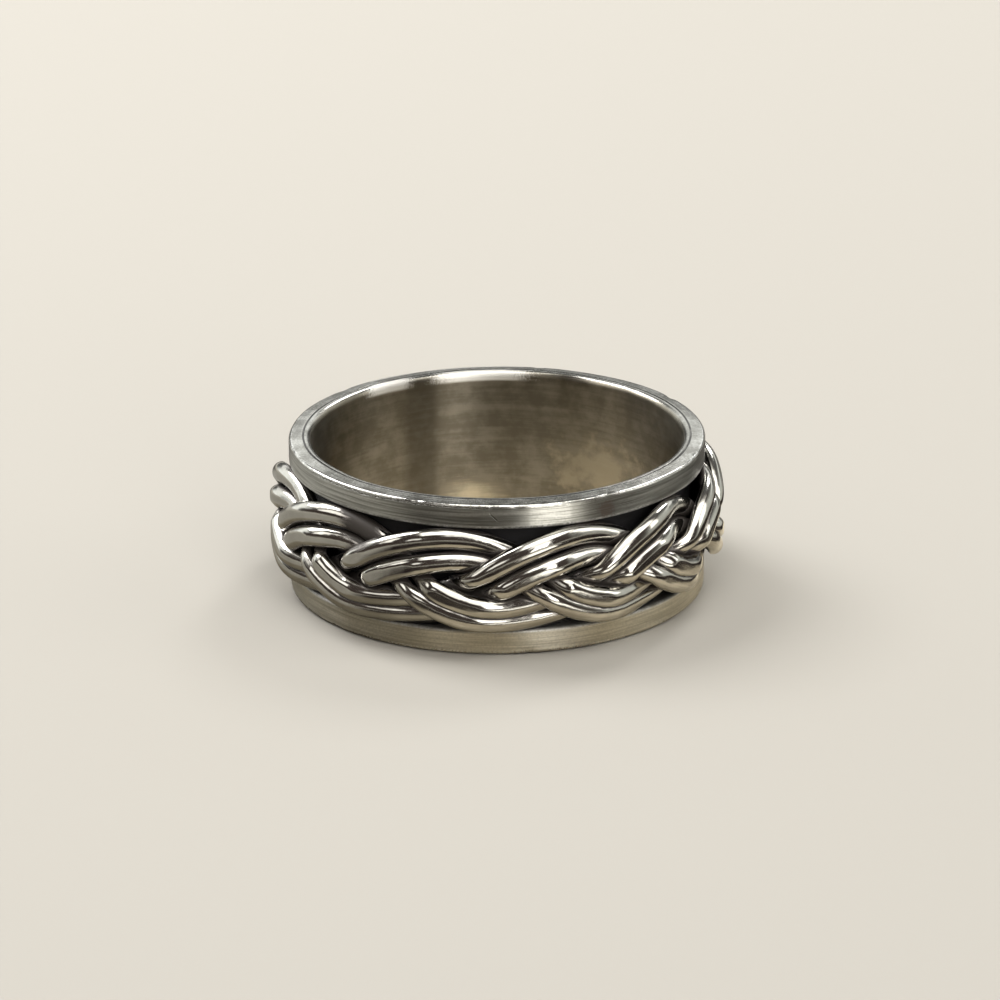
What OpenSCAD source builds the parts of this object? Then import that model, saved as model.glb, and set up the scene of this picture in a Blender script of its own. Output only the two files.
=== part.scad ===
// Braided band ring, lying on one rim. A plain sleeve carries a raised rim at each edge, and a plait
// of three strands lies in the channel between the rims and turns round the sleeve. Each strand is
// two wires side by side. The origin is the middle of the lower face, and +Z is the finger's axis.

/* [Sleeve and rims] */
// Inside diameter of the ring, which sets its finger size
bore_d = 18.95; // [14:0.05:23]
// Wall of the sleeve under the plait
sleeve_wall = 0.42; // [0.3:0.01:1]
// Height of each rim along the finger
rim_h = 1.325; // [0.8:0.025:3]
// How far each rim stands out from the sleeve
rim_rise = 0.745; // [0.5:0.005:1.2]
// Radius of the rims' worn outer edges
rim_round = 0.14; // [0.05:0.01:0.3]
// Radius of the rounding where the finger goes in, at both ends of the bore
finger_round = 0.32; // [0.1:0.01:0.4]
// Radius of the solder left in the channel's two corners
solder_fillet = 0.1; // [0.05:0.01:0.2]

/* [Wires] */
// Width of one wire, measured along the band
wire_w = 0.92; // [0.6:0.01:1.2]
// Thickness of one wire, measured outwards
wire_t = 0.76; // [0.5:0.01:1]
// Gap between the two wires of a strand
pair_gap = 0.12; // [0.1:0.01:0.2]
// Gap where one wire passes over another
cross_gap = 0.13; // [0.1:0.01:0.25]
// How much the rolled flats take off the plait's outermost crests
crest_flat = 0.03; // [0:0.01:0.06]

/* [Plait] */
// How far a strand swings to each side of the plait's middle, in widths of a strand
swing = 0.824; // [0.8:0.002:1.1]
// Steepest angle that a strand may take across the plait, which has as many bights as that allows
lay_angle = 29; // [24:0.5:29]
// Gap between the plait and each rim
side_gap = 0.08; // [0.05:0.01:0.3]
// Gap between the plait and the sleeve
seat_gap = 0.085; // [0.05:0.005:0.3]
// Turn of the plait round the band as it is shown
plait_turn = -14.7; // [-90:0.1:90]
// How far the bights are pushed along by uneven plaiting, in degrees round the ring
uneven = 1.3; // [0:0.1:1.5]
// Where on the ring the bights are widest apart, in degrees from the front
uneven_at = -20; // [-90:1:90]

/* [Hidden] */
$fn = 96;

// Sides of a wire's meshed section, and rings along one wire
WIRE_SIDES = 10;
WIRE_RINGS = 126;
// Strands in the plait, and lobes of the unevenness round the ring
STRANDS = 3;
UNEVEN_LOBES = 2;
// Phase, out of a swing of 360, over which a strand sinks on each side of its crest,
// and over which it dives on each side of the plait's middle
CREST_TURN = 18;
DIVE_TURN = 12;
// Gap left at the joint where the ends of the strands meet, in degrees
BUTT_GAP = 0.3;

strand_w = 2 * wire_w + pair_gap;
wire_offset = (wire_w + pair_gap) / 2;
swing_h = swing * strand_w;
plait_h = 2 * swing_h + strand_w;
channel_h = plait_h + 2 * side_gap;
band_h = channel_h + 2 * rim_h;
mid_z = band_h / 2;

bore_r = bore_d / 2;
sleeve_r = bore_r + sleeve_wall;
rim_r = sleeve_r + rim_rise;
low_r = sleeve_r + seat_gap + wire_t / 2;
high_r = low_r + wire_t + cross_gap;
plait_r = (low_r + high_r) / 2;
crest_r = high_r + wire_t / 2 - crest_flat;

// Whole bights that fit round the ring, and how far the phase turns for each degree round it
bights = max(STRANDS + 1, floor(STRANDS * plait_r * tan(lay_angle) / swing_h));
phase_rate = bights / STRANDS;
deg_per_mm = 180 / (PI * plait_r);

// Slope of a strand at the plait's middle and half-way to its crest, where strands cross
mid_slope = swing_h * phase_rate / plait_r;
cross_angle = 2 * atan(mid_slope * sin(60));
// The two wires of a strand reach a crossing strand's edge this far apart, half each way
wire_lag = wire_offset / tan(cross_angle);

// Angles round the ring start at the front, at -Y, and grow towards +X.
function pushed(a) = uneven * sin(UNEVEN_LOBES * (a - uneven_at));
function phase(strand, a) = 360 / STRANDS * strand + phase_rate * (plait_turn - a + pushed(a));
function strand_z(strand, a) = swing_h * cos(phase(strand, a));
function strand_slope(strand, a) =
    (strand_z(strand, a + 0.1) - strand_z(strand, a - 0.1)) * deg_per_mm / 0.2;

// Height of a strand, from 1 where it lies over the others to -1 where it lies under them
function lift(ph) =
    let (u = ph - 180 * floor(ph / 180))
    u < CREST_TURN ? sin(90 * u / CREST_TURN) :
    u < 90 - DIVE_TURN ? 1 :
    u < 90 + DIVE_TURN ? cos(90 * (u - 90 + DIVE_TURN) / DIVE_TURN) :
    u < 180 - CREST_TURN ? -1 :
    sin(90 * (u - 180) / CREST_TURN);

// Middle of one wire: side is 1 for the upper wire of the pair and -1 for the lower one
function wire_point(strand, side, a) =
    let (slope = strand_slope(strand, a),
         across = side * wire_offset / sqrt(1 + slope * slope),
         lag = side * wire_lag * slope / mid_slope,
         r = plait_r + (high_r - low_r) / 2 * lift(phase(strand, a) - phase_rate * deg_per_mm * lag),
         az = a - across * slope * deg_per_mm)
    [r * sin(az), -r * cos(az), mid_z + strand_z(strand, a) + across];

function unit(v) = v / norm(v);
// Draws a point in to the rolled crest
function rolled(p) = let (r = norm([p.x, p.y]), k = min(1, crest_r / r)) [k * p.x, k * p.y, p.z];

// One ring of points round a wire, square to its run
function wire_ring(before, at, after) =
    let (run = unit(after - before),
         across = unit(cross(run, [at.x, at.y, 0])),
         out = cross(across, run))
    [for (i = [0 : WIRE_SIDES - 1])
        let (t = 360 * i / WIRE_SIDES)
        rolled(at + wire_w / 2 * cos(t) * across + wire_t / 2 * sin(t) * out)];

// Triangles of a tube of rings, closed at both ends
function tube_faces(rings, sides) = concat(
    [for (j = [0 : rings - 2], i = [0 : sides - 1], half = [0, 1])
        let (a = j * sides + i, b = j * sides + (i + 1) % sides)
        half == 0 ? [a, b, b + sides] : [a, b + sides, a + sides]],
    [for (i = [1 : sides - 2]) [0, i + 1, i]],
    let (last = (rings - 1) * sides) [for (i = [1 : sides - 2]) [last, last + i, last + i + 1]]);

// One wire, from the joint at the back all the way round to the joint again
module wire(strand, side) {
    step = (360 - BUTT_GAP) / (WIRE_RINGS - 1);
    path = [for (j = [-1 : WIRE_RINGS])
        wire_point(strand, side, 180 + BUTT_GAP / 2 + step * j)];
    rings = [for (j = [1 : WIRE_RINGS]) each wire_ring(path[j - 1], path[j], path[j + 1])];
    polyhedron(rings, tube_faces(WIRE_RINGS, WIRE_SIDES));
}

module strand(number) {
    wire(number, 1);
    wire(number, -1);
}

// Square round the origin, less a quarter circle that touches its middle lines towards +X and +Y.
// It cuts a rounding from an outer corner, and fills one into an inner corner.
module corner(r) {
    difference() {
        square(2 * r, center = true);
        translate([r, r]) circle(r);
    }
}

// Section of the lower rim: x is the distance from the finger's axis
module rim_section() {
    difference() {
        union() {
            translate([bore_r, 0]) square([rim_r - bore_r, rim_h]);
            translate([sleeve_r, rim_h]) corner(solder_fillet);
        }
        translate([bore_r, 0]) corner(finger_round);
        translate([rim_r, 0]) mirror([1, 0]) corner(rim_round);
        translate([rim_r, rim_h]) mirror([1, 0]) mirror([0, 1]) corner(rim_round);
    }
}

// Sleeve with both rims, soldered into one piece. The sleeve starts half-way up each rim.
module base_band() {
    color("silver") rotate_extrude() {
        rim_section();
        translate([0, band_h]) mirror([0, 1]) rim_section();
        translate([bore_r, rim_h / 2]) square([sleeve_wall, band_h - rim_h]);
    }
}

module braid_strand_1() { color("gainsboro") strand(0); }
module braid_strand_2() { color("lightgray") strand(1); }
module braid_strand_3() { color("darkgray") strand(2); }

base_band();
braid_strand_1();
braid_strand_2();
braid_strand_3();
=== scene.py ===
import math

import bpy
import numpy as np
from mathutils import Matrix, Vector


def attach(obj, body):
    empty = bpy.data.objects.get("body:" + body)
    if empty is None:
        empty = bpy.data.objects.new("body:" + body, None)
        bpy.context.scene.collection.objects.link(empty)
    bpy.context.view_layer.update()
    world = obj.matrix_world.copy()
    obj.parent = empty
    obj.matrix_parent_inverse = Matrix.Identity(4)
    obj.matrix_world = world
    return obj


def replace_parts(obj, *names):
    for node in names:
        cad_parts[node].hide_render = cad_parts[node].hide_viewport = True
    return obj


# Braided band ring, lying on one rim. Lengths are in metres, the finger's axis is +Z and the front is
# towards -Y. Angles round the ring start at the front and grow towards +X.
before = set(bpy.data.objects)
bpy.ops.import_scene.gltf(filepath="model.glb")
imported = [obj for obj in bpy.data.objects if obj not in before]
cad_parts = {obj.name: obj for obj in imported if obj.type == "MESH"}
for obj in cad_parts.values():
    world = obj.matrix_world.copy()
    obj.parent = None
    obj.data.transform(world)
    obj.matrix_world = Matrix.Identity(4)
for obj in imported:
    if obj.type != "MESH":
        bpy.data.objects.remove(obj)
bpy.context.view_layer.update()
MM = 0.001
scene = bpy.context.scene


# Base band. A sleeve of silver strip is closed with solder, and a heavier strip is soldered round each
# of its edges as a rim. It was filed true and brushed round and round. Wear has since rubbed the rims'
# edges bright, and black oxide stays in the channel between them.
bore_radius = 9.475 * MM
sleeve_radius = 9.895 * MM
rim_radius = 10.64 * MM
rim_height = 1.325 * MM
band_height = 8.0 * MM
finger_rounding = 0.32 * MM
edge_rounding = 0.14 * MM
solder_rounding = 0.1 * MM
# How far the end faces fall from the seam to the outer edge, and the angle they meet its rounding at
face_fall = 0.06 * MM
face_lean = 5
seam_width = 0.05 * MM
seam_depth = 0.03 * MM
# Hand filing: how far the outside, the bore and the upper end face are off true
outside_wobble = 0.012 * MM
bore_wobble = 0.008 * MM
face_wobble = 0.01 * MM
# Wear of the finger's roundings and of the rims' outer edges, as a share
finger_wear = 0.6
edge_wear = 1.0
band_steps = 720
# Nicks knocked into the rims' outer edges: angle round the ring, height of the edge, depth and
# half-length, the lengths in millimetres
rim_nicks = [
    (-1.5, 8.0, 0.03, 0.12), (5.0, 8.0, 0.025, 0.3), (13.0, 8.0, 0.02, 0.2), (-22.0, 8.0, 0.03, 0.25),
    (-38.0, 8.0, 0.02, 0.5), (31.0, 8.0, 0.02, 0.35), (121.0, 8.0, 0.06, 0.35), (168.0, 8.0, 0.03, 0.3),
    (-131.0, 8.0, 0.03, 0.4), (-77.0, 8.0, 0.02, 0.3), (70.0, 8.0, 0.025, 0.3),
    (8.0, 0.0, 0.03, 0.3), (-50.0, 0.0, 0.02, 0.4), (96.0, 0.0, 0.04, 0.3), (-140.0, 0.0, 0.03, 0.3),
    (152.0, 0.0, 0.02, 0.5),
]


def arc(middle, radius, start, end, steps, worn):
    """Points (distance from the axis, height, wear) on an arc of the band's section, angles in degrees."""
    return [(middle[0] + radius * math.cos(t), middle[1] + radius * math.sin(t), worn)
            for t in np.radians(np.linspace(start, end, steps))]


def straight(start, end, steps):
    """Points inside a straight side of the section, without its two ends."""
    return [(start[0] + (end[0] - start[0]) * k / steps, start[1] + (end[1] - start[1]) * k / steps, 0.0)
            for k in range(1, steps)]


def lower_half_section():
    """The band's section from the middle of the bore, round the lower rim, to the middle of the channel."""
    middle = band_height / 2
    inner, outer = bore_radius + finger_rounding, rim_radius - edge_rounding
    channel = (sleeve_radius + solder_rounding, rim_height + solder_rounding)
    return (
        straight((bore_radius, middle), (bore_radius, finger_rounding), 10)
        + arc((inner, finger_rounding), finger_rounding, 180, 270, 10, finger_wear)
        + straight((inner, 0), (sleeve_radius - seam_width / 2, 0), 2)
        + [(sleeve_radius - seam_width / 2, 0, 0), (sleeve_radius, seam_depth, 0)]
        + [(sleeve_radius + seam_width / 2, 0, 0)]
        + straight((sleeve_radius + seam_width / 2, 0), (outer, face_fall), 6)
        + arc((outer, edge_rounding + face_fall), edge_rounding, 270 + face_lean, 360, 8, edge_wear)
        + straight((rim_radius, edge_rounding + face_fall), (rim_radius, rim_height - edge_rounding), 8)
        + arc((outer, rim_height - edge_rounding), edge_rounding, 0, 90, 7, edge_wear)
        + straight((outer, rim_height), (channel[0], rim_height), 4)
        + arc(channel, solder_rounding, 270, 180, 5, 0.0)
        + straight((sleeve_radius, channel[1]), (sleeve_radius, middle), 8)
    )


def slow_waves(angle, lobes, seed):
    """A wobble between about -1 and 1 that closes on itself round the ring."""
    starts = np.random.default_rng(seed).uniform(0, 2 * math.pi, len(lobes))
    return sum(np.sin(n * angle + s) for n, s in zip(lobes, starts)) / math.sqrt(len(lobes))


def ring_mesh(name, section):
    """Turns a closed section round the finger's axis, with the wobble and the nicks of handwork."""
    half = np.array(section)
    upper = half[::-1] * [1, -1, 1] + [0, band_height, 0]
    mid_bore = [[bore_radius, band_height / 2, 0]]
    mid_channel = [[sleeve_radius, band_height / 2, 0]]
    rows = np.vstack([mid_bore, half, mid_channel, upper])
    r, z, worn = (rows[:, k][None, :] for k in range(3))
    turn = np.linspace(0, 2 * math.pi, band_steps, endpoint=False)[:, None]
    share = (r - bore_radius) / (rim_radius - bore_radius)
    top = (z > band_height / 2) * 1.0
    upper_rim, lower_rim = slow_waves(turn, (2, 5, 9, 14), 3), slow_waves(turn, (3, 4, 8, 15), 4)
    out = outside_wobble * share * (upper_rim * top + lower_rim * (1 - top))
    out = out + bore_wobble * (1 - share) * slow_waves(turn, (4, 7, 11, 16), 5)
    lift = face_wobble * slow_waves(turn, (2, 6, 13), 6) * top
    for at, height, depth, length in rim_nicks:
        gap = np.angle(np.exp(1j * (turn - math.radians(at)))) * rim_radius
        near = np.exp(-(gap / (length * MM)) ** 2) * (worn > 0.9) * (abs(z - height * MM) < 0.2 * MM)
        out = out - depth * MM * near
        lift = lift - np.sign(height - 4) * 0.6 * depth * MM * near
    rr, zz = r + out, z + lift
    verts = np.stack([rr * np.sin(turn), -rr * np.cos(turn), zz + 0 * turn], 2).reshape(-1, 3)
    n = rows.shape[0]
    i, j = np.meshgrid(np.arange(band_steps), np.arange(n), indexing="ij")
    a, b = i * n + j, i * n + (j + 1) % n
    c, d = ((i + 1) % band_steps) * n + (j + 1) % n, ((i + 1) % band_steps) * n + j
    quads = np.stack([a, b, c, d], 2).reshape(-1, 4)
    mesh = bpy.data.meshes.new(name)
    mesh.from_pydata(verts.tolist(), [], quads.tolist())
    wear = mesh.attributes.new("worn", "FLOAT", "POINT")
    wear.data.foreach_set("value", np.repeat(worn, band_steps, 0).astype(np.float32).ravel())
    mesh.shade_smooth()
    mesh.update()
    return mesh


def outward(obj):
    """Turns a closed mesh's faces to point outwards."""
    mesh = obj.data
    mesh.calc_loop_triangles()
    p = np.array([v.co for v in mesh.vertices])
    t = np.array([x.vertices for x in mesh.loop_triangles])
    if np.einsum("ij,ij->i", p[t[:, 0]], np.cross(p[t[:, 1]], p[t[:, 2]])).sum() < 0:
        mesh.flip_normals()


band = bpy.data.objects.new("sleeve_and_rims", ring_mesh("sleeve_and_rims", lower_half_section()))
scene.collection.objects.link(band)
outward(band)


class Tree:
    """Adds nodes to a node tree and joins them: an input is given a value, or another node's output."""

    def __init__(self, tree):
        self.tree, self.nodes = tree, tree.nodes
        self.count = 0

    def add(self, kind, inputs=(), **settings):
        """A new node of this kind, with its inputs by name or number, and its own settings."""
        node = self.nodes.new(kind)
        node.location = (180 * (self.count % 9), -220 * (self.count // 9))
        self.count += 1
        for key, value in settings.items():
            setattr(node, key, value)
        for key, value in dict(inputs).items():
            socket = node.inputs[key]
            if isinstance(value, bpy.types.NodeSocket):
                self.tree.links.new(value, socket)
            else:
                socket.default_value = value
        return node

    def maths(self, operation, a, b=0.0, c=0.0, clamp=False):
        """Result of one sum on up to three values."""
        return self.add("ShaderNodeMath", {0: a, 1: b, 2: c}, operation=operation, use_clamp=clamp).outputs[0]

    def times(self, *values):
        """Product of two or more values."""
        product = values[0]
        for value in values[1:]:
            product = self.maths("MULTIPLY", product, value)
        return product

    def off(self, value, centre):
        """How far a value is from a centre, either way."""
        return self.maths("ABSOLUTE", self.maths("SUBTRACT", value, centre))

    def length(self, a, b):
        """Length of the line that goes a one way and b square to it."""
        return self.maths("SQRT", self.maths("MULTIPLY_ADD", a, a, self.maths("MULTIPLY", b, b)))

    def step(self, value, low, high, start=0.0, end=1.0):
        """A soft step: start below low, end above high."""
        return self.add("ShaderNodeMapRange", {"Value": value, "From Min": low, "From Max": high,
                                               "To Min": start, "To Max": end},
                        interpolation_type="SMOOTHSTEP").outputs[0]

    def blend(self, share, a, b):
        """Colour a where share is 0 and colour b where it is 1."""
        return self.add("ShaderNodeMix", {0: share, 6: a, 7: b}, data_type="RGBA").outputs[2]

    def tint(self, share, strength, under, colour):
        """Colour under, with the other laid over it at this strength where share is 1."""
        return self.blend(self.maths("MULTIPLY", share, strength), under, colour)

    def group(self, group, **inputs):
        """Places one of this script's shader groups, and returns its one output."""
        return self.add("ShaderNodeGroup", inputs, node_tree=group).outputs[0]


def shader_group(name, inputs, output):
    """An empty shader node group with these number inputs and one number output."""
    tree = bpy.data.node_groups.new(name, "ShaderNodeTree")
    for label, value in inputs:
        tree.interface.new_socket(label, in_out="INPUT", socket_type="NodeSocketFloat").default_value = value
    tree.interface.new_socket(output, in_out="OUTPUT", socket_type="NodeSocketFloat")
    build = Tree(tree)
    return build, build.add("NodeGroupInput").outputs, build.add("NodeGroupOutput").inputs


def ring_coordinates(build):
    """Position in millimetres, as x, y and height, and the distance from the finger's axis."""
    place = build.add("ShaderNodeTexCoord").outputs["Object"]
    scaled = build.add("ShaderNodeVectorMath", {0: place, "Scale": 1000.0}, operation="SCALE").outputs[0]
    x, y, z = build.add("ShaderNodeSeparateXYZ", {0: scaled}).outputs
    return scaled, x, y, z, build.length(x, y)


def make_brushed_lines():
    """Fine lines left by brushing the band round and round. They follow circles on every face of it."""
    inputs = [("Lines", 14.0), ("Length", 0.35), ("Shift", 0.0)]
    build, given, out = shader_group("Brushed lines", inputs, "Lines")
    _, x, y, z, r = ring_coordinates(build)
    across = build.maths("MULTIPLY_ADD", build.maths("ADD", z, r), given["Lines"], given["Shift"])
    long_x, long_y = build.maths("MULTIPLY", x, given["Length"]), build.maths("MULTIPLY", y, given["Length"])
    vector = build.add("ShaderNodeCombineXYZ", {0: long_x, 1: long_y, 2: across}).outputs[0]
    noise = build.add("ShaderNodeTexNoise", {"Vector": vector, "Scale": 1.0,
                                             "Detail": 4.0, "Roughness": 0.65})
    build.tree.links.new(noise.outputs[0], out["Lines"])
    return build.tree


# Where in the noise the mottle is taken from, away from its regular middle
mottle_start = (7.3, 3.1, 5.7)


def make_mottle():
    """Cloudy unevenness of handled silver, at a size given in blotches to the millimetre."""
    build, given, out = shader_group("Mottle", [("Size", 1.0), ("Detail", 4.0), ("Shift", 0.0)], "Mottle")
    scaled, *_ = ring_coordinates(build)
    moved = build.add("ShaderNodeVectorMath", {0: scaled, 1: mottle_start}, operation="ADD").outputs[0]
    noise = build.add("ShaderNodeTexNoise", {"Vector": moved, "W": given["Shift"], "Scale": given["Size"],
                                             "Detail": given["Detail"], "Roughness": 0.6},
                      noise_dimensions="4D")
    build.tree.links.new(noise.outputs[0], out["Mottle"])
    return build.tree


def make_oxide():
    """How black the silver is: full in hollows that no rubbing reaches, and broken up at their edges."""
    inputs = [("Hollow", 0.0), ("Start", 0.45), ("Full", 0.75), ("Patchy", 0.25)]
    build, given, out = shader_group("Oxide", inputs, "Oxide")
    scaled, *_ = ring_coordinates(build)
    fine = build.add("ShaderNodeTexNoise", {"Vector": scaled, "Scale": 3.5,
                                            "Detail": 5.0, "Roughness": 0.7}).outputs[0]
    broken = build.maths("MULTIPLY_ADD", build.maths("SUBTRACT", fine, 0.5), given["Patchy"], given["Hollow"])
    build.tree.links.new(build.step(broken, given["Start"], given["Full"]), out["Oxide"])
    return build.tree


brushed_lines, mottle, oxide = make_brushed_lines(), make_mottle(), make_oxide()


def silver(name):
    """A new metal material and the means to add to it."""
    material = bpy.data.materials.new(name)
    material.use_nodes = True
    shader = material.node_tree.nodes["Principled BSDF"]
    shader.inputs["Metallic"].default_value = 1.0
    return material, Tree(material.node_tree), shader


def attribute(build, name):
    """Number that is stored on the mesh's points under this name."""
    return build.add("ShaderNodeAttribute", attribute_name=name, attribute_type="GEOMETRY").outputs["Fac"]


# Colours of the band. Of a pair, the first is in the dark of its pattern and the second in the light.
face_colours = (0.22, 0.22, 0.195, 1), (0.49, 0.485, 0.445, 1)
# Painted reflection: lighter and warmer low on the outside, as the warm floor close below shows in it.
lower_rim_reflection_colours = (0.42, 0.395, 0.325, 1), (0.66, 0.62, 0.52, 1)
end_face_colours = (0.30, 0.29, 0.26, 1), (0.62, 0.61, 0.57, 1)
# Painted reflection: the bore's brown.
bore_reflection_colours = (0.18, 0.158, 0.12, 1), (0.28, 0.252, 0.20, 1)
grain_colour = (0.26, 0.25, 0.225, 1)
# Painted reflections in the bore: a dark streak, a lighter patch and a pale place.
bore_dark_reflection_colour = (0.09, 0.078, 0.058, 1)
bore_light_reflection_colour = (0.44, 0.385, 0.285, 1)
bore_pale_reflection_colour = (0.68, 0.60, 0.45, 1)
seam_colour = (0.035, 0.03, 0.028, 1)
rubbed_colour = (0.82, 0.81, 0.78, 1)
# Painted highlight on the finger rounding.
finger_highlight_colour = (0.86, 0.84, 0.79, 1)
# Painted highlight and painted brown reflection on the front of the upper rim.
rim_highlight_colour = (0.72, 0.71, 0.67, 1)
rim_brown_reflection_colour = (0.24, 0.185, 0.16, 1)
cut_colour = (0.05, 0.045, 0.04, 1)
oxide_colour = (0.014, 0.013, 0.014, 1)
# Places of the marks, in millimetres. One number is an x, and two are an x and a height.
# The bore's dark streak, lighter patch and pale place are painted reflections.
bore_dark_reflection_at, bore_light_reflection_at, bore_pale_reflection_at = -4.0, (5.2, 3.2), (-1.5, 1.2)
# Painted highlight on the finger rounding, in two places.
finger_highlight_at, finger_highlight_left_at = -0.8, -5.6
# On the upper rim: a painted highlight, a painted brown reflection and a real nick.
rim_highlight_at, rim_brown_reflection_at, nick_at = 2.62, (5.4, 7.2), (-0.19, 7.32)
crack_height = 7.62


def bore_reflection_colour(build, x, y, z, clouds, bands):
    """Painted reflections: brown overall, and at the back a dark streak, a lighter patch and a pale place."""
    behind = build.step(y, 2.0, 5.0)
    # Painted reflection: the brown tone stands in for the warm floor seen in the bore.
    blotches = build.maths("MULTIPLY_ADD", bands, 0.6, clouds)
    colour = build.blend(build.step(blotches, 0.65, 1.0), *bore_reflection_colours)
    # Painted dark reflection: an upright dark streak at the back.
    streak = build.times(build.step(build.off(x, bore_dark_reflection_at), 1.1, 0.5), behind)
    colour = build.tint(streak, 0.55, colour, bore_dark_reflection_colour)
    # Painted light reflection: a lighter patch at the back.
    across, up = build.maths("SUBTRACT", x, bore_light_reflection_at[0]), build.maths("SUBTRACT", z, bore_light_reflection_at[1])
    bore_light_reflection = build.length(across, build.maths("MULTIPLY", up, 1.2))
    bore_light_reflection = build.times(build.step(build.maths("MULTIPLY_ADD", clouds, 9.0, bore_light_reflection), 7.2, 5.2), behind)
    colour = build.tint(bore_light_reflection, 0.75, colour, bore_light_reflection_colour)
    # Painted light reflection: a pale place low at the back.
    across, up = build.maths("SUBTRACT", x, bore_pale_reflection_at[0]), build.maths("SUBTRACT", z, bore_pale_reflection_at[1])
    pale = build.length(build.maths("MULTIPLY", across, 0.45), up)
    pale = build.maths("MULTIPLY_ADD", bands, 1.6, build.maths("MULTIPLY_ADD", clouds, 1.6, pale))
    return build.tint(build.times(build.step(pale, 2.7, 1.5), behind), 0.9, colour, bore_pale_reflection_colour)


def front_marks(build, x, y, z, r, lines, clouds, grain):
    """Masks on the upper rim's front: a painted highlight, a painted brown reflection and the cuts."""
    front = build.times(build.step(r, 10.5, 10.6), build.step(y, 0.0, -2.0), build.step(z, 6.0, 6.6))
    streaky = build.step(build.maths("MULTIPLY_ADD", grain, 0.4, lines), 0.64, 0.8)
    # Painted highlight: a bright streaky patch.
    rim_highlight = build.times(build.step(build.off(x, rim_highlight_at), 1.12, 0.92), front, streaky)
    # Painted reflection: a brown patch.
    across, up = build.maths("SUBTRACT", x, rim_brown_reflection_at[0]), build.maths("SUBTRACT", z, rim_brown_reflection_at[1])
    rim_brown_reflection = build.maths("ADD", build.length(across, up), grain)
    rim_brown_reflection = build.times(build.step(rim_brown_reflection, 1.05, 0.75), front)
    crack = build.step(build.off(z, build.maths("MULTIPLY_ADD", clouds, 0.3, crack_height)), 0.05, 0.015)
    crack = build.times(crack, front, build.step(x, 0.5, -2.0), build.step(x, -10.0, -8.8))
    crack = build.times(crack, build.step(grain, 0.38, 0.5))
    across, up = build.maths("SUBTRACT", x, nick_at[0]), build.maths("SUBTRACT", z, nick_at[1])
    slant = build.maths("ABSOLUTE", build.maths("ADD", across, up))
    nick_end = build.step(build.maths("ABSOLUTE", across), 0.2, 0.14)
    nick = build.times(build.step(slant, 0.06, 0.02), nick_end, front)
    return rim_highlight, rim_brown_reflection, build.maths("MAXIMUM", crack, nick)


def finger_rounding_highlight(build, x, y, z, worn, grain):
    """Mask of a painted highlight in two places at the back of the upper finger rounding."""
    middle = build.step(build.off(x, finger_highlight_at), 3.6, 0.9)
    left = build.step(build.off(x, finger_highlight_left_at), 1.7, 0.3)
    places = build.maths("MAXIMUM", middle, left)
    broken = build.maths("MULTIPLY_ADD", build.maths("SUBTRACT", grain, 0.5), 1.2, places)
    on_rounding = build.times(build.step(worn, 0.2, 0.5), build.step(worn, 0.85, 0.7))
    high_behind = build.times(build.step(y, 3.0, 6.0), build.step(z, 4.0, 6.0))
    return build.times(build.step(broken, 0.1, 0.9), high_behind, on_rounding)


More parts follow.
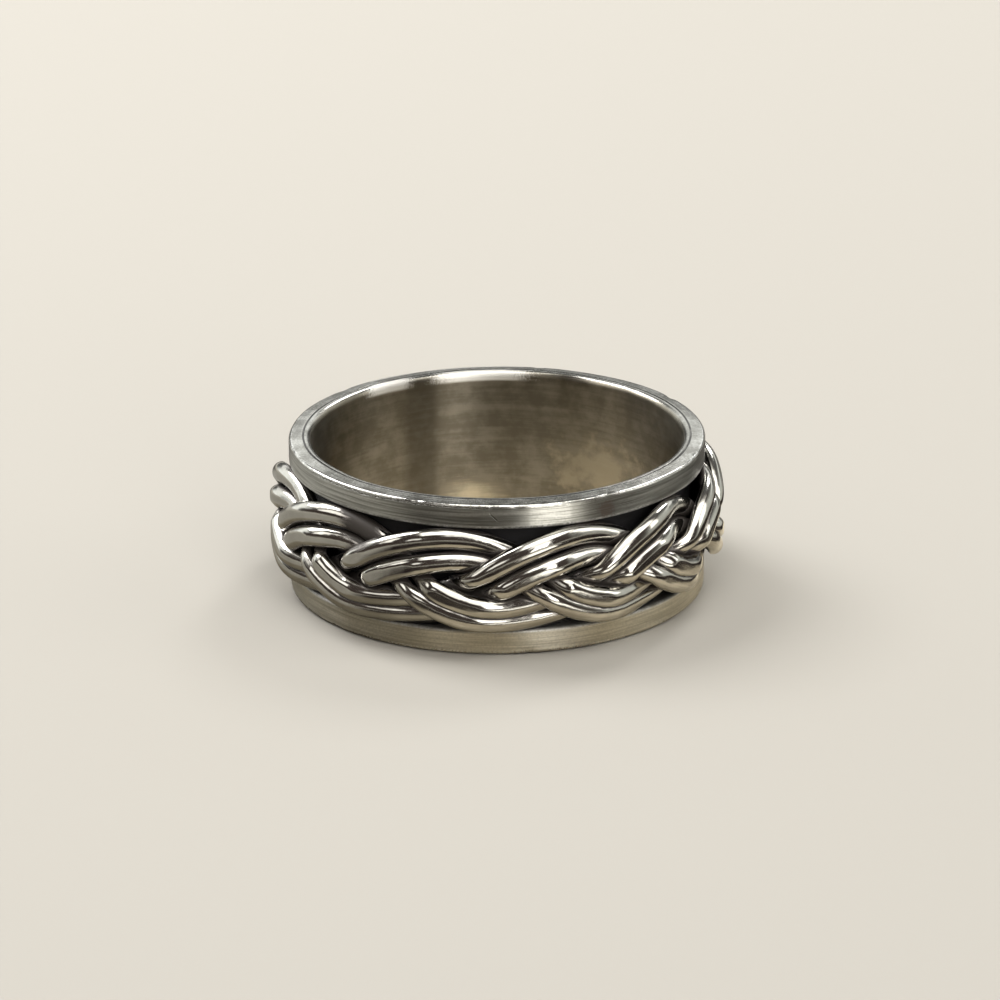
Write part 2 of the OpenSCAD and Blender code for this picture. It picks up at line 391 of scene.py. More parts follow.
def make_band_silver():
    """Greyish brushed silver, bright on worn edges; painted reflections and highlights on rims and bore."""
    material, build, shader = silver("band_silver")
    _, x, y, z, r = ring_coordinates(build)
    from_middle = build.off(z, band_height / 2 / MM)
    bore, sleeve, face = bore_radius / MM, sleeve_radius / MM, band_height / 2 / MM
    hollow, worn = attribute(build, "hollow"), attribute(build, "worn")
    lines = build.group(brushed_lines, Lines=11.0, Length=0.22)
    bands = build.group(brushed_lines, Lines=2.6, Length=0.16, Shift=4.0)
    clouds = build.group(mottle, Size=0.8, Detail=5.0)
    grain = build.group(mottle, Size=9.0, Detail=3.0, Shift=2.0)
    black = build.group(oxide, Hollow=hollow, Start=0.5, Full=0.72, Patchy=0.3)
    in_channel = build.times(build.step(from_middle, 2.9, 2.6), build.step(r, 9.7, 9.85))
    black = build.maths("MAXIMUM", black, in_channel)
    in_bore = build.step(r, bore + 0.25, bore + 0.02)
    on_face = build.step(from_middle, face - 0.14, face - 0.07)

    colour = build.blend(build.step(lines, 0.35, 0.65), *face_colours)
    # Painted reflection of the warm floor on the lower rim's outer face.
    lower_rim = build.blend(build.step(lines, 0.3, 0.7), *lower_rim_reflection_colours)
    colour = build.blend(build.step(z, 2.0, 1.0), colour, lower_rim)
    colour = build.blend(build.step(grain, 0.4, 0.7, 0.0, 0.35), colour, grain_colour)
    blotches = build.maths("MULTIPLY_ADD", grain, 0.5, clouds)
    end_face = build.blend(build.step(blotches, 0.6, 0.95), *end_face_colours)
    colour = build.blend(on_face, colour, end_face)
    # Painted reflections in the bore.
    colour = build.blend(in_bore, colour, bore_reflection_colour(build, x, y, z, clouds, bands))
    seam = build.times(build.step(build.off(r, sleeve), 0.07, 0.025), on_face, build.step(clouds, 0.3, 0.5))
    colour = build.tint(seam, 0.95, colour, seam_colour)
    rubbed = build.times(build.step(worn, 0.7, 1.0), build.step(grain, 0.35, 0.6),
                         build.step(clouds, 0.38, 0.55, 0.15, 1.0))
    colour = build.tint(rubbed, 0.8, colour, rubbed_colour)
    rim_highlight, rim_brown_reflection, cut = front_marks(build, x, y, z, r, lines, clouds, grain)
    # Painted highlight and painted brown reflection on the upper rim's front; the cuts are real.
    colour = build.tint(rim_highlight, 0.5, colour, rim_highlight_colour)
    colour = build.tint(rim_brown_reflection, 0.6, colour, rim_brown_reflection_colour)
    colour = build.tint(cut, 0.75, colour, cut_colour)
    # Painted highlight at the back of the finger rounding.
    finger_highlight = finger_rounding_highlight(build, x, y, z, worn, grain)
    colour = build.tint(finger_highlight, 0.9, colour, finger_highlight_colour)
    colour = build.blend(black, colour, oxide_colour)

    rough = build.maths("MULTIPLY_ADD", lines, 0.22, 0.22)
    for share, more in ((on_face, -0.13), (finger_highlight, 0.22), (rubbed, -0.12), (rim_highlight, -0.04)):
        rough = build.maths("MULTIPLY_ADD", share, more, rough)
    rough = build.maths("MULTIPLY_ADD", black, 0.4, rough, clamp=True)
    relief = build.maths("MULTIPLY_ADD", bands, 3.0, lines)
    height = build.maths("MULTIPLY", relief, build.step(in_bore, 0.0, 1.0, 1.0, 0.25))
    height = build.maths("MULTIPLY_ADD", grain, 0.3, height)
    height = build.maths("MULTIPLY_ADD", cut, -4.0, height)
    bump = build.add("ShaderNodeBump", {"Strength": 1.0, "Distance": 0.005 * MM, "Height": height})
    build.tree.links.new(colour, shader.inputs["Base Color"])
    build.tree.links.new(build.maths("MULTIPLY_ADD", black, -0.95, 1.0), shader.inputs["Metallic"])
    build.tree.links.new(rough, shader.inputs["Roughness"])
    build.tree.links.new(bump.outputs[0], shader.inputs["Normal"])
    shader.inputs["Anisotropic"].default_value = 0.85
    shader.inputs["Anisotropic Rotation"].default_value = 0.25
    return material


band.data.materials.append(make_band_silver())


# Plait. Three strands, each of two round silver wires side by side, are worked over and under one
# another round the sleeve, and their ends are soldered together at the back. Rolling the finished
# plait has left flats on its highest places. It lies loose in the channel and turns in it.
wire_width = 1.1 * MM
# How far a wire stands outwards and inwards from its middle line, half the distance between the two
# wires of a strand, and how far along the ring one dives before and the other after the strand's middle
wire_rise = 0.52 * MM
wire_seat = 0.31 * MM
wire_offset = 0.497 * MM
wire_lag = 0.3 * MM
wire_steps = 900
wire_sides = 28
# How far a strand swings up and down, middle radius of the plait, and how far a strand lies outside or
# inside that
swing_height = 1.63 * MM
plait_radius = 10.69 * MM
strand_step = 0.435 * MM
# Radius that the crests are rolled to, the gap left to the rims, and how softly both end
rolled_radius = 11.66 * MM
rim_clearance = 0.02 * MM
rolled_softness = 0.03 * MM
bights = 11
strands = 3
plait_turn = -14.2
# How far the bights are pushed along by uneven plaiting, in degrees, and where they are widest apart
uneven = 2.62
uneven_at = -20.3
# How far the loose plait has sunk towards the lower rim, how full a strand's curve is, and how much
# narrower it is at its upper crests than at its lower ones
sunk = 0.228 * MM
curve_fullness = 0.04
curve_lean = 0.05
# How much further apart a pair of wires lies near the upper crests, as a share, how far past the crest
# that is, in degrees of the swing, and how much deeper the outer wire of the pair lies there
crest_spread = 0.19
spread_at = 35.0
crest_tilt = 0.1 * MM
# Along a half swing of 180 degrees: how far a strand takes to rise or sink beside its crest, how
# sharply it dives in the middle, and how far along the ring the dives stand from there
sink_turn = 38.0
dive_turn = 15.0
dive_along = -1.0
# Humps along a half swing, each with its middle and its length: the rise of a strand's shoulder where
# it comes out from under another, the swell of its wires, and the pinch of their noses at the dive
shoulder_rise, shoulder_at, shoulder_length = 0.09 * MM, 68, 11
swell, swell_at, swell_length = 0.03, 55, 16
nose_pinch, pinch_at, pinch_length = 0.16, 86, 10
# How much of that rise a shoulder has on average, how uneven that is, and how uneven the wires' fullness
# is, as shares
shoulder_share, shoulder_wobble, fullness_wobble = 0.65, 0.35, 0.02


def pushed(angle):
    """How far uneven plaiting pushes the bights along, in degrees."""
    return uneven * np.sin(np.radians(2 * (angle - uneven_at)))


def phase(strand, angle, along=0.0):
    """Where a strand is in its swing, in degrees: 0 at its upper crest and 180 at its lower one."""
    return 360 / strands * strand + bights / strands * (plait_turn + along - angle + pushed(angle))


def swing(strand, angle):
    """Height of a strand's middle above the middle of the band."""
    turn = np.radians(phase(strand, angle))
    curve = np.cos(turn) - curve_fullness * np.cos(3 * turn) + curve_lean * np.cos(2 * turn)
    return swing_height * curve / (1 - curve_fullness) - sunk


def lift(turn):
    """1 where a strand lies over the others and -1 where it lies under them."""
    u = np.mod(turn, 180.0)
    rising = np.sin(np.radians(90 * u / sink_turn))
    diving = np.cos(np.radians(90 * (u - 90 + dive_turn) / dive_turn))
    sinking = np.sin(np.radians(90 * (u - 180) / sink_turn))
    stretches = [u < sink_turn, u < 90 - dive_turn, u < 90 + dive_turn, u < 180 - sink_turn]
    return np.select(stretches, [rising, 1.0, diving, -1.0], sinking)


def hump(turn, at, length):
    """1 at one place along a half swing, fading away over about this length to each side."""
    return np.exp(-((np.mod(turn, 180.0) - at) / length) ** 2)


def wire_route(strand, side, angle):
    """Middle of one wire at these angles. Side is 1 for the upper wire of the pair and -1 for the lower."""
    mm_per_degree = math.radians(1) * plait_radius
    slope = (swing(strand, angle + 0.05) - swing(strand, angle - 0.05)) / (0.1 * mm_per_degree)
    steepest = swing_height * bights / strands / plait_radius
    crest = np.cos(np.radians(phase(strand, angle)))
    spread = np.cos(np.radians(phase(strand, angle) - spread_at))
    across = side * wire_offset * (1 + crest_spread * spread) / np.sqrt(1 + slope * slope)
    lag = side * wire_lag * slope / steepest / mm_per_degree * bights / strands
    turn = phase(strand, angle, dive_along) - lag
    firm = shoulder_share + shoulder_wobble * slow_waves(np.radians(angle), (3, 5, 7), 21 + strand)
    shoulder = shoulder_rise * firm * hump(turn, shoulder_at, shoulder_length)
    r = plait_radius + strand_step * lift(turn) + shoulder - side * crest_tilt * crest * abs(crest)
    at = np.radians(angle - across * slope / mm_per_degree)
    height = band_height / 2 + swing(strand, angle) + across
    return np.stack([r * np.sin(at), -r * np.cos(at), height], -1)


def route_object(strand, side):
    """The line that one wire follows, round from the joint at the back, with its outward way."""
    angle = 180 + 360 * np.arange(wire_steps + 1) / wire_steps
    points = wire_route(strand, side, angle)
    mesh = bpy.data.meshes.new("route")
    mesh.from_pydata(points.tolist(), [(i, i + 1) for i in range(wire_steps)], [])
    out = points * [1, 1, 0]
    out = out / np.linalg.norm(out, axis=1)[:, None]
    outward_way = mesh.attributes.new("outward", "FLOAT_VECTOR", "POINT")
    outward_way.data.foreach_set("vector", out.astype(np.float32).ravel())
    seed = 40 + 2 * strand + (side > 0)
    full = 1 + fullness_wobble * slow_waves(np.radians(angle), (5, 9, 17, 23), seed)
    turn = phase(strand, angle, dive_along)
    full = full + swell * hump(turn, swell_at, swell_length) - nose_pinch * hump(turn, pinch_at, pinch_length)
    mesh.attributes.new("fullness", "FLOAT", "POINT").data.foreach_set("value", full.astype(np.float32))
    obj = bpy.data.objects.new("route", mesh)
    scene.collection.objects.link(obj)
    return obj


def geometry_tree(name, inputs):
    """An empty Geometry Nodes tree with these inputs besides the mesh."""
    tree = bpy.data.node_groups.new(name, "GeometryNodeTree")
    tree.interface.new_socket("Mesh", in_out="INPUT", socket_type="NodeSocketGeometry")
    tree.interface.new_socket("Mesh", in_out="OUTPUT", socket_type="NodeSocketGeometry")
    for label, kind in inputs:
        tree.interface.new_socket(label, in_out="INPUT", socket_type=kind)
    build = Tree(tree)
    return build, build.add("NodeGroupInput").outputs, build.add("NodeGroupOutput").inputs


def store(build, geometry, name, value):
    """Stores a number on each point of the geometry."""
    inputs = {"Geometry": geometry, "Name": name, "Value": value}
    return build.add("GeometryNodeStoreNamedAttribute", inputs).outputs[0]


def stored(build, name, kind="FLOAT"):
    """Reads a value that is stored on the points under this name."""
    return build.add("GeometryNodeInputNamedAttribute", {"Name": name}, data_type=kind).outputs[0]


def finished(build, geometry, finish):
    """Makes the geometry real and gives it its material."""
    whole = build.add("GeometryNodeRealizeInstances", {"Geometry": geometry}).outputs[0]
    return build.add("GeometryNodeSetMaterial", {"Geometry": whole, "Material": finish}).outputs[0]


def make_wire_tree():
    """Draws a wire along its route, and rolls it flat where it stands out past the roller."""
    build, given, out = geometry_tree("Drawn wire", [
        ("Width", "NodeSocketFloat"), ("Rise", "NodeSocketFloat"), ("Seat", "NodeSocketFloat"),
        ("Sides", "NodeSocketInt"), ("Rolled to", "NodeSocketFloat"), ("Softness", "NodeSocketFloat"),
        ("Lower rim", "NodeSocketFloat"), ("Upper rim", "NodeSocketFloat"), ("Finish", "NodeSocketMaterial")])
    curve = build.add("GeometryNodeMeshToCurve", {"Mesh": given["Mesh"]}).outputs[0]
    way = stored(build, "outward", "FLOAT_VECTOR")
    curve = build.add("GeometryNodeSetCurveNormal", {"Curve": curve, "Normal": way}, mode="FREE").outputs[0]
    curve = store(build, curve, "along", build.add("GeometryNodeSplineParameter").outputs["Length"])

    ring = build.add("GeometryNodeCurvePrimitiveCircle",
                     {"Resolution": given["Sides"], "Radius": 1.0}).outputs[0]
    ring = store(build, ring, "around", build.add("GeometryNodeSplineParameter").outputs["Factor"])
    place = build.add("GeometryNodeInputPosition").outputs[0]
    out_way, across_way, _ = build.add("ShaderNodeSeparateXYZ", {0: place}).outputs
    outer = build.times(build.maths("MAXIMUM", out_way, 0.0), given["Rise"])
    inner = build.times(build.maths("MINIMUM", out_way, 0.0), given["Seat"])
    across_way = build.times(across_way, given["Width"], 0.5)
    depth = build.maths("ADD", outer, inner)
    section = build.add("ShaderNodeCombineXYZ", {0: depth, 1: across_way}).outputs[0]
    ring = build.add("GeometryNodeSetPosition", {"Geometry": ring, "Position": section}).outputs[0]
    wire = build.add("GeometryNodeCurveToMesh", {"Curve": curve, "Profile Curve": ring, "Fill Caps": True,
                                                 "Scale": stored(build, "fullness")}).outputs[0]

    place = build.add("GeometryNodeInputPosition").outputs[0]
    flat = build.add("ShaderNodeVectorMath", {0: place, 1: (1.0, 1.0, 0.0)}, operation="MULTIPLY").outputs[0]
    reach = build.add("ShaderNodeVectorMath", {0: flat}, operation="LENGTH").outputs["Value"]
    held = build.maths("SMOOTH_MIN", reach, given["Rolled to"], given["Softness"])
    share = build.maths("DIVIDE", held, reach)
    x, y, z = build.add("ShaderNodeSeparateXYZ", {0: place}).outputs
    x, y = build.times(x, share), build.times(y, share)
    z = build.maths("SMOOTH_MAX", z, given["Lower rim"], given["Softness"])
    z = build.maths("SMOOTH_MIN", z, given["Upper rim"], given["Softness"])
    rolled = build.add("ShaderNodeCombineXYZ", {0: x, 1: y, 2: z}).outputs[0]
    wire = store(build, wire, "rolled", build.maths("SUBTRACT", reach, held))
    wire = build.add("GeometryNodeSetPosition", {"Geometry": wire, "Position": rolled}).outputs[0]
    wire = build.add("GeometryNodeSetShadeSmooth", {"Geometry": wire}).outputs[0]
    build.tree.links.new(finished(build, wire, given["Finish"]), out["Mesh"])
    return build.tree


def apply_tree(obj, tree, **values):
    """Gives obj the tree as a modifier with these inputs, and returns the plain mesh that it makes."""
    modifier = obj.modifiers.new(tree.name, "NODES")
    modifier.node_group = tree
    sockets = {s.name: s.identifier for s in tree.interface.items_tree if s.in_out == "INPUT"}
    for key, value in values.items():
        modifier[sockets[key.replace("_", " ")]] = value
    bpy.context.view_layer.update()
    made = bpy.data.meshes.new_from_object(obj.evaluated_get(bpy.context.evaluated_depsgraph_get()))
    obj.modifiers.remove(modifier)
    return made


def make_drawn_lines():
    """Fine lines that drawing leaves along a wire."""
    build, given, out = shader_group("Drawn lines", [("Lines", 26.0), ("Length", 0.5)], "Lines")
    along = build.times(attribute(build, "along"), 1 / MM, given["Length"])
    around = build.times(attribute(build, "around"), given["Lines"])
    vector = build.add("ShaderNodeCombineXYZ", {0: along, 1: around}).outputs[0]
    noise = build.add("ShaderNodeTexNoise", {"Vector": vector, "Scale": 1.0, "Detail": 3.0, "Roughness": 0.6})
    build.tree.links.new(noise.outputs[0], out["Lines"])
    return build.tree


drawn_lines = make_drawn_lines()


# Colours of the wires, from the best polished to the blackest, and the middle of a stretch at the left of
# the front where the wires are made dusky and black, in millimetres
wire_colours = (0.44, 0.425, 0.385, 1), (0.56, 0.545, 0.50, 1)
drawn_line_colour = (0.48, 0.45, 0.40, 1)
dusk_colour = (0.24, 0.215, 0.205, 1)
wire_oxide_colour = (0.05, 0.042, 0.036, 1)
dark_stretch_at = (-7.3, -8.8, 6.3)


def make_plait_silver():
    """Polished wire: bright and a little warm where it is rubbed, dusky and then black in the hollows."""
    material, build, shader = silver("braid_silver")
    hollow, rolled = attribute(build, "hollow"), attribute(build, "rolled")
    place, *_ = ring_coordinates(build)
    lines = build.group(drawn_lines, Lines=22.0, Length=0.6)
    clouds = build.group(mottle, Size=0.7, Detail=4.0, Shift=7.0)
    dents = build.group(mottle, Size=1.6, Detail=1.0, Shift=3.0)
    grain = build.group(mottle, Size=11.0, Detail=3.0, Shift=5.0)
    # A stretch at the left of the front is made dusky and black as the hollows are.
    from_dark_stretch = build.add("ShaderNodeVectorMath", {0: place, 1: dark_stretch_at}, operation="DISTANCE")
    dark_stretch = build.maths("MULTIPLY_ADD", lines, -1.6, from_dark_stretch.outputs["Value"])
    dark_stretch = build.step(dark_stretch, 1.15, -0.1)
    hollow_and_dark_stretch = build.maths("MULTIPLY_ADD", dark_stretch, 0.6, hollow)
    dusk = build.group(oxide, Hollow=hollow_and_dark_stretch, Start=0.12, Full=0.37, Patchy=0.3)
    black = build.group(oxide, Hollow=hollow_and_dark_stretch, Start=0.28, Full=0.49, Patchy=0.24)

    colour = build.blend(build.step(clouds, 0.3, 0.7), *wire_colours)
    colour = build.tint(build.step(lines, 0.55, 0.8), 0.35, colour, drawn_line_colour)
    colour = build.tint(dusk, 0.7, colour, dusk_colour)
    colour = build.blend(black, colour, wire_oxide_colour)
    pressed = build.step(rolled, 0.004 * MM, 0.03 * MM)
    rough = build.maths("MULTIPLY_ADD", lines, 0.09, 0.085)
    rough = build.maths("MULTIPLY_ADD", pressed, 0.04, rough)
    rough = build.maths("MULTIPLY_ADD", dusk, 0.08, rough)
    rough = build.maths("MULTIPLY_ADD", black, 0.3, rough, clamp=True)
    height = build.maths("MULTIPLY_ADD", dents, 9.0, lines)
    height = build.maths("MULTIPLY_ADD", grain, 0.5, height)
    bump = build.add("ShaderNodeBump", {"Strength": 1.0, "Distance": 0.002 * MM, "Height": height})
    build.tree.links.new(colour, shader.inputs["Base Color"])
    build.tree.links.new(build.maths("MULTIPLY_ADD", black, -0.95, 1.0), shader.inputs["Metallic"])
    build.tree.links.new(rough, shader.inputs["Roughness"])
    build.tree.links.new(bump.outputs[0], shader.inputs["Normal"])
    return material


plait_silver = make_plait_silver()
wire_tree = make_wire_tree()
plait = []
for strand in range(strands):
    meshes = []
    for side in (1, -1):
        route = route_object(strand, side)
        meshes.append(apply_tree(
            route, wire_tree, Width=wire_width, Rise=wire_rise, Seat=wire_seat, Sides=wire_sides,
            Rolled_to=rolled_radius, Softness=rolled_softness, Lower_rim=rim_height + rim_clearance,
            Upper_rim=band_height - rim_height - rim_clearance, Finish=plait_silver))
        bpy.data.objects.remove(route)
    pair = []
    for mesh in meshes:
        wire = bpy.data.objects.new(f"plait_strand_{strand + 1}", mesh)
        scene.collection.objects.link(wire)
        outward(wire)
        pair.append(wire)
    with bpy.context.temp_override(active_object=pair[0], object=pair[0],
                                   selected_editable_objects=pair, selected_objects=pair):
        bpy.ops.object.join()
    plait.append(pair[0])


# Hollows. Oxide stays where nothing rubs it off, so each piece is given a map of how shut in its
# surface is by the metal around it. With that the pieces are finished, and each is given its body.
hollow_rays = 64
hollow_reach = 1.6 * MM
# How far off the surface the rays start, so that they miss the face they start from
ray_start = 0.01 * MM
# Turn from one ray to the next, in radians, which spreads any number of rays evenly
spiral_turn = 2.399963


def make_hollow_tree():
    """Looks out from each point in evenly spread directions, and stores how much metal stands near."""
    build, given, out = geometry_tree("Hollow map", [
        ("Metal around", "NodeSocketObject"), ("Rays", "NodeSocketInt"), ("Reach", "NodeSocketFloat"),
        ("Start", "NodeSocketFloat"), ("Finish", "NodeSocketMaterial")])
    metal = build.add("GeometryNodeObjectInfo", {"Object": given["Metal around"]}).outputs["Geometry"]
    loop, end = build.add("GeometryNodeRepeatInput"), build.add("GeometryNodeRepeatOutput")
    loop.pair_with_output(end)
    build.tree.links.new(store(build, given["Mesh"], "hollow", 0.0), loop.inputs["Geometry"])
    build.tree.links.new(given["Rays"], loop.inputs["Iterations"])
    index = loop.outputs["Iteration"]
    part = build.maths("DIVIDE", build.maths("ADD", index, 0.5), given["Rays"])
    height = build.maths("MULTIPLY_ADD", part, -2.0, 1.0)
    wide = build.maths("SQRT", build.maths("SUBTRACT", 1.0, build.times(height, height)))
    spiral = build.maths("MULTIPLY", index, spiral_turn)
    x, y = build.times(wide, build.maths("COSINE", spiral)), build.times(wide, build.maths("SINE", spiral))
    ray = build.add("ShaderNodeCombineXYZ", {0: x, 1: y, 2: height}).outputs[0]
    normal = build.add("GeometryNodeInputNormal").outputs[0]
    facing = build.add("ShaderNodeVectorMath", {0: normal, 1: ray}, operation="DOT_PRODUCT").outputs["Value"]
    facing = build.maths("MAXIMUM", facing, 0.0)
    lifted = build.add("ShaderNodeVectorMath", {0: normal, "Scale": given["Start"]},
                       operation="SCALE").outputs[0]
    place = build.add("GeometryNodeInputPosition").outputs[0]
    source = build.add("ShaderNodeVectorMath", {0: place, 1: lifted}, operation="ADD").outputs[0]
    cast = build.add("GeometryNodeRaycast", {"Target Geometry": metal, "Source Position": source,
                                             "Ray Direction": ray, "Ray Length": given["Reach"]})
    near = build.maths("SUBTRACT", 1.0, build.maths("DIVIDE", cast.outputs["Hit Distance"], given["Reach"]))
    shut = build.times(cast.outputs["Is Hit"], near, facing)
    share = build.maths("DIVIDE", build.maths("MULTIPLY", shut, 4.0), given["Rays"])
    total = build.maths("ADD", stored(build, "hollow"), share)
    build.tree.links.new(store(build, loop.outputs["Geometry"], "hollow", total), end.inputs["Geometry"])
    build.tree.links.new(finished(build, end.outputs["Geometry"], given["Finish"]), out["Mesh"])
    return build.tree


def joined_copy(objects):
    """One mesh object that holds the faces of all of these."""
    points, faces, base = [], [], 0
    for obj in objects:
        co = np.zeros(len(obj.data.vertices) * 3)
        obj.data.vertices.foreach_get("co", co)
        points.append(co.reshape(-1, 3))
        faces += [[base + i for i in p.vertices] for p in obj.data.polygons]
        base += len(obj.data.vertices)
    mesh = bpy.data.meshes.new("metal_around")
    mesh.from_pydata(np.vstack(points).tolist(), [], faces)
    copy = bpy.data.objects.new("metal_around", mesh)
    scene.collection.objects.link(copy)
    return copy


around = joined_copy([band, *plait])
hollow_tree = make_hollow_tree()
for piece in (band, *plait):
    piece.data = apply_tree(piece, hollow_tree, Metal_around=around, Rays=hollow_rays, Reach=hollow_reach,
                            Start=ray_start, Finish=piece.data.materials[0])
bpy.data.objects.remove(around)

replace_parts(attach(band, "band"), "base_band")
for number, piece in enumerate(plait, 1):
    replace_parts(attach(piece, "braid"), f"braid_strand_{number}")


# Floor. A plain pale sheet, wide enough to fill the view from any side. In the silver's reflections alone
# it is darker and uneven, with painted light and shade: lit near the ring, a painted shadow under it,
# painted shade at the left and beyond, and inside the ring dark at the front and lit at the back. One
# glowing card is painted on it, so that the silver has something to mirror.
floor_radius = 2.5
floor_sides = 96
floor_colour = (0.40, 0.38, 0.345, 1)
# Colours of the floor in the silver. Of a pair near the ring or beyond it, the second is in the light of
# the pattern, and of the pair inside the ring, the second is at the back.
# Painted light and shade, for reflections only: lit near the ring and dark beyond it.
near_lit_colours = (0.62, 0.555, 0.43, 1), (0.38, 0.33, 0.25, 1)
beyond_shade_colours = (0.014, 0.011, 0.011, 1), (0.07, 0.06, 0.05, 1)
# Painted shade at the front inside the ring and painted light at its back; painted shadow under the ring and
# painted shade at the left.
inside_shade_and_light_colours = (0.10, 0.09, 0.07, 1), (1.0, 0.92, 0.76, 1)
shadow_under_colour = (0.10, 0.088, 0.066, 1)
left_shade_colour = (0.09, 0.08, 0.06, 1)
far_colour = (0.32, 0.31, 0.28, 1)
# A painted glow, seen only in reflections.
card_glow_colour = (1.0, 0.97, 0.9, 1)
card_glow_strength = 3.0
# Way from the ring to the card, as x and y
card_way = 0.44, -0.90


def make_floor():
    """The sheet, with one look to the camera and another in reflections. Its places are in millimetres."""
    turn = np.linspace(0, 2 * math.pi, floor_sides, endpoint=False)
    mesh = bpy.data.meshes.new("floor")
    edge = [(floor_radius * math.cos(t), floor_radius * math.sin(t), 0) for t in turn]
    mesh.from_pydata(edge, [], [range(floor_sides)])
    material, build, shader = silver("floor")
    shader.inputs["Metallic"].default_value = 0.0
    shader.inputs["Roughness"].default_value = 0.8
    shader.inputs["Specular IOR Level"].default_value = 0.0
    _, x, y, _, r = ring_coordinates(build)
    clouds = build.group(mottle, Size=0.22, Detail=5.0)
    # Painted light and shade for the reflections: lit near the ring, painted shadow under it, painted shade
    # at the left, shade and light inside it and shade beyond.
    mirrored = build.blend(build.step(clouds, 0.38, 0.62), *near_lit_colours)
    mirrored = build.blend(build.step(r, 13.2, 11.8, 0.0, 0.25), mirrored, shadow_under_colour)
    mirrored = build.blend(build.step(x, -1.0, -8.0, 0.0, 0.85), mirrored, left_shade_colour)
    inside = build.blend(build.step(y, -4.0, 7.5), *inside_shade_and_light_colours)
    mirrored = build.blend(build.step(r, 9.9, 9.3), mirrored, inside)
    beyond = build.blend(build.step(clouds, 0.42, 0.68), *beyond_shade_colours)
    mirrored = build.blend(build.step(r, 15.5, 18.0), mirrored, beyond)
    left = build.step(build.maths("DIVIDE", x, r), -0.55, -0.8, 0.0, 0.7)
    far = build.maths("MAXIMUM", build.step(r, 45.0, 60.0), build.times(left, build.step(r, 14.0, 17.0)))
    mirrored = build.blend(far, mirrored, far_colour)
    seen = build.add("ShaderNodeLightPath").outputs["Is Camera Ray"]
    colour = build.blend(seen, mirrored, floor_colour)
    build.tree.links.new(colour, shader.inputs["Base Color"])
    # A painted glowing card on the floor, seen only in reflections.
    along = build.maths("MULTIPLY_ADD", x, card_way[0], build.maths("MULTIPLY", y, card_way[1]))
    card_glow = build.times(build.step(build.maths("DIVIDE", along, r), 0.965, 0.985), build.step(r, 21.0, 24.0))
    card_glow = build.times(card_glow, build.step(r, 60.0, 50.0), build.maths("SUBTRACT", 1.0, seen), card_glow_strength)
    shader.inputs["Emission Color"].default_value = card_glow_colour
    build.tree.links.new(card_glow, shader.inputs["Emission Strength"])
    mesh.materials.append(material)
    floor = bpy.data.objects.new("floor", mesh)
    scene.collection.objects.link(floor)
    return floor


make_floor()


# Light. A dark room with a band of pale light low behind the ring, brighter to the left, a light
# overhead, and upright strips of light round it, as silver is lit so that its curves show.
room_colour = (0.07, 0.055, 0.048, 1)
back_colour = (0.14, 0.14, 0.135, 1)
sky_light = (1.25, 1.27, 1.24, 1)
left_light = (1.6, 1.64, 1.6, 1)
right_light = (0.8, 0.82, 0.77, 1)
overhead_light = (3.6, 3.55, 3.4, 1)
seen_colour = (0.8, 0.83, 0.88, 1)
# Strips of light: azimuth, half width, lowest and highest elevation, all in degrees, and strength. Then
# how softly a strip ends at its sides, foot and head, in degrees, and its colour
light_strips = [
    (27, 9, 6, 50, 5.4), (20, 17, 34, 66, 2.2), (88, 9, 14, 55, 3.0), (-75, 9, 20, 50, 2.2),
    (-28, 8, 15, 34, 1.8), (-108, 16, 28, 60, 1.3),
]
side_softness, foot_softness, head_softness = 2, 5, 8
strip_colour = 1.0, 0.98, 0.94


def height_at(elevation):
    """Height of a direction at this elevation in degrees."""
    return math.sin(math.radians(elevation))


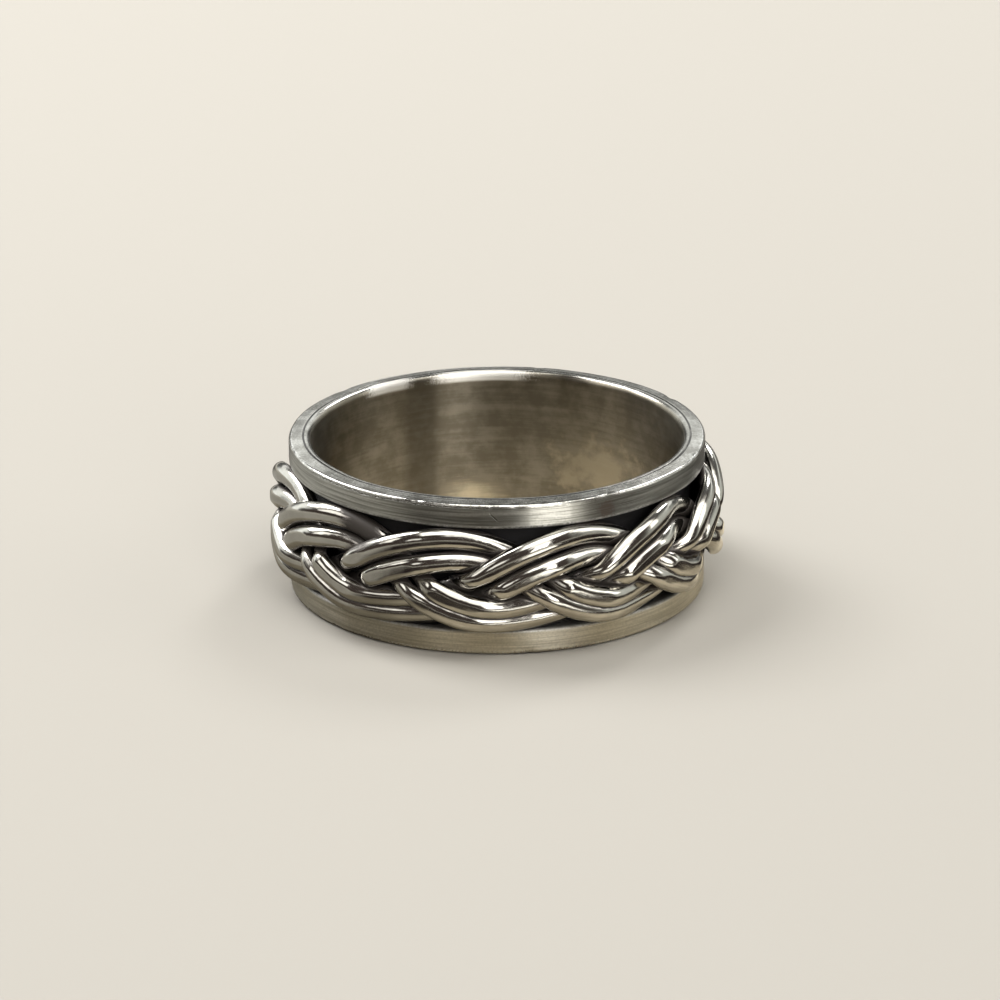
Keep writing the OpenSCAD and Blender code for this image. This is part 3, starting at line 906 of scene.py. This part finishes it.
def make_room():
    """Light from all round, by its direction: x is to the right, y to the back and z up."""
    world = bpy.data.worlds.new("room")
    world.use_nodes = True
    scene.world = world
    build = Tree(world.node_tree)
    way = build.add("ShaderNodeTexCoord").outputs["Generated"]
    x, y, z = build.add("ShaderNodeSeparateXYZ", {0: way}).outputs
    light = build.blend(build.step(y, 0.0, 0.5), room_colour, back_colour)
    low_sky = build.times(build.step(z, 0.22, 0.31), build.step(z, 0.5, 0.4), build.step(y, 0.0, 0.4))
    light = build.blend(low_sky, light, sky_light)
    left = build.times(build.step(x, -0.4, -0.75), build.step(y, 0.3, 0.55))
    light = build.blend(left, light, left_light)
    right = build.times(build.step(x, 0.6, 0.9), build.step(y, -0.5, 0.0))
    light = build.blend(right, light, right_light)
    overhead = build.times(build.step(z, 0.78, 0.85), build.step(y, 0.25, 0.0), build.step(x, -0.38, -0.2))
    light = build.blend(overhead, light, overhead_light)
    flat = build.maths("SQRT", build.maths("SUBTRACT", 1.0, build.times(z, z)))
    for azimuth, half_width, lowest, highest, strength in light_strips:
        a = math.radians(azimuth)
        facing = build.maths("MULTIPLY_ADD", x, math.sin(a), build.maths("MULTIPLY", y, -math.cos(a)))
        facing = build.maths("DIVIDE", facing, flat)
        edge, soft = math.cos(math.radians(half_width)), math.cos(math.radians(half_width + side_softness))
        strip = build.times(build.step(facing, soft, edge),
                            build.step(z, height_at(lowest), height_at(lowest + foot_softness)),
                            build.step(z, height_at(highest), height_at(highest - head_softness)))
        light = build.blend(strip, light, (*(strength * share for share in strip_colour), 1))
    seen = build.add("ShaderNodeLightPath").outputs["Is Camera Ray"]
    light = build.blend(seen, light, seen_colour)
    world.node_tree.links.new(light, world.node_tree.nodes["Background"].inputs["Color"])


def soft_light(name, azimuth, elevation, distance, width, height, power):
    """A rectangle of light that faces the ring from this way, with its power in watts."""
    data = bpy.data.lights.new(name, "AREA")
    data.shape, data.size, data.size_y, data.energy = "RECTANGLE", width, height, power
    lamp = bpy.data.objects.new(name, data)
    a, e = math.radians(azimuth), math.radians(elevation)
    back = Vector((math.sin(a) * math.cos(e), -math.cos(a) * math.cos(e), math.sin(e)))
    lamp.location = back * distance
    lamp.rotation_euler = back.to_track_quat("Z", "Y").to_euler()
    scene.collection.objects.link(lamp)


make_room()
soft_light("window", azimuth=-125, elevation=48, distance=0.5, width=0.22, height=0.3, power=2.2)
soft_light("far_window", azimuth=150, elevation=42, distance=0.6, width=0.12, height=0.2, power=1.2)


# Camera. It stands where the photograph was taken from: in front, about 20 degrees above the ring.
camera_elevation = 20.44
camera_roll = -0.35
camera_distance = 256.85 * MM
camera_lens = 180.0
camera_shift = 0.0027, 0.0052


def make_camera():
    """A long lens, because the photograph's perspective is flat."""
    data = bpy.data.cameras.new("camera")
    data.sensor_width, data.lens = 36.0, camera_lens
    data.clip_start, data.clip_end = 0.01, 20.0
    data.shift_x, data.shift_y = camera_shift
    camera = bpy.data.objects.new("camera", data)
    elevation = math.radians(camera_elevation)
    ahead, above = camera_distance * math.cos(elevation), camera_distance * math.sin(elevation)
    camera.location = (0, -ahead, band_height / 2 + above)
    camera.rotation_euler = (math.pi / 2 - elevation, 0, 0)
    camera.rotation_euler.rotate_axis("Z", math.radians(camera_roll))
    scene.collection.objects.link(camera)
    scene.camera = camera


make_camera()
scene.view_settings.view_transform = "Standard"
